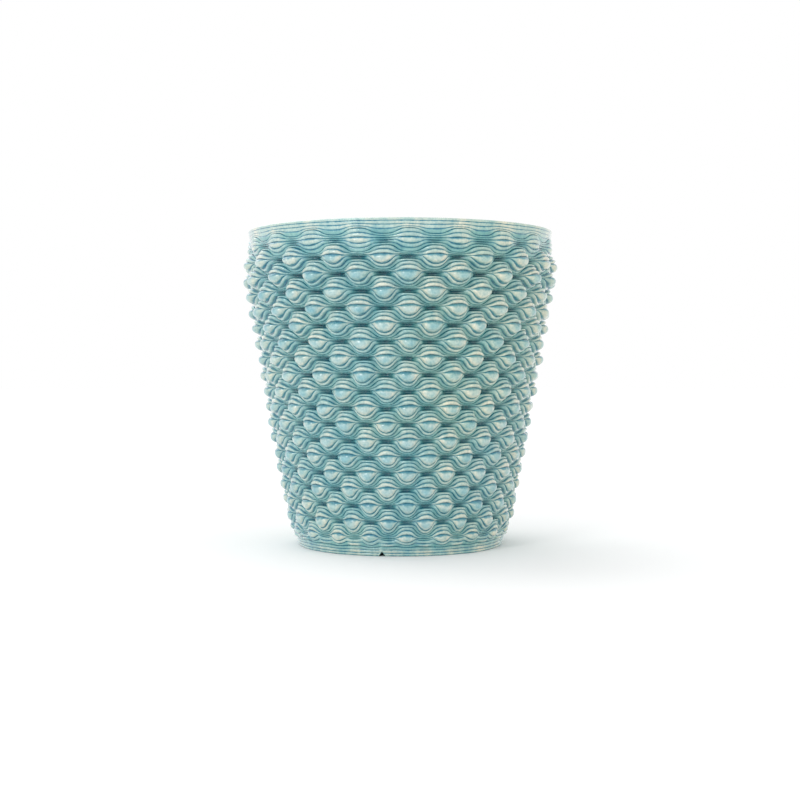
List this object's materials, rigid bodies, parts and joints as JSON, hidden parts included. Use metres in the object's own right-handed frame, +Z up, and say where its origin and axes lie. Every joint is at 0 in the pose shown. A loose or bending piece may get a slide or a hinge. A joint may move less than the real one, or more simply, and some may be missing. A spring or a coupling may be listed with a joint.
{
  "type": "planter pot",
  "caption": "Tapered round planter pot of coiled, glazed clay with staggered rings of bobbles, a plain lip and foot, and a drain hole in its floor.",
  "frame": {"origin": "middle of the foot's flat base, on the pot's axis", "axes": "+Z up along the pot's axis, -Y the front, which is the side with the drain notch, +X to the right seen from the front"},
  "size_m": [0.1516, 0.1516, 0.15],
  "materials": {
    "celadon_glaze": "glossy blue-green glaze, pale on the crests of the coils and deep blue where it pools between them",
    "foot_clay": "the same glaze outside, wiped off the base, which is bare pale clay"
  },
  "bodies": {
    "root": {"foot_ring": "foot_clay", "floor_disc": "celadon_glaze", "wall_course_01": "celadon_glaze", "wall_course_02": "celadon_glaze", "wall_course_03": "celadon_glaze", "wall_course_04": "celadon_glaze", "wall_course_05": "celadon_glaze", "wall_course_06": "celadon_glaze", "wall_course_07": "celadon_glaze", "wall_course_08": "celadon_glaze", "wall_course_09": "celadon_glaze", "wall_course_10": "celadon_glaze", "wall_course_11": "celadon_glaze", "wall_course_12": "celadon_glaze", "wall_course_13": "celadon_glaze", "wall_course_14": "celadon_glaze", "wall_course_15": "celadon_glaze", "wall_course_16": "celadon_glaze", "wall_course_17": "celadon_glaze", "wall_course_18": "celadon_glaze", "wall_course_19": "celadon_glaze", "rim_band": "celadon_glaze"}
  },
  "joints": []
}
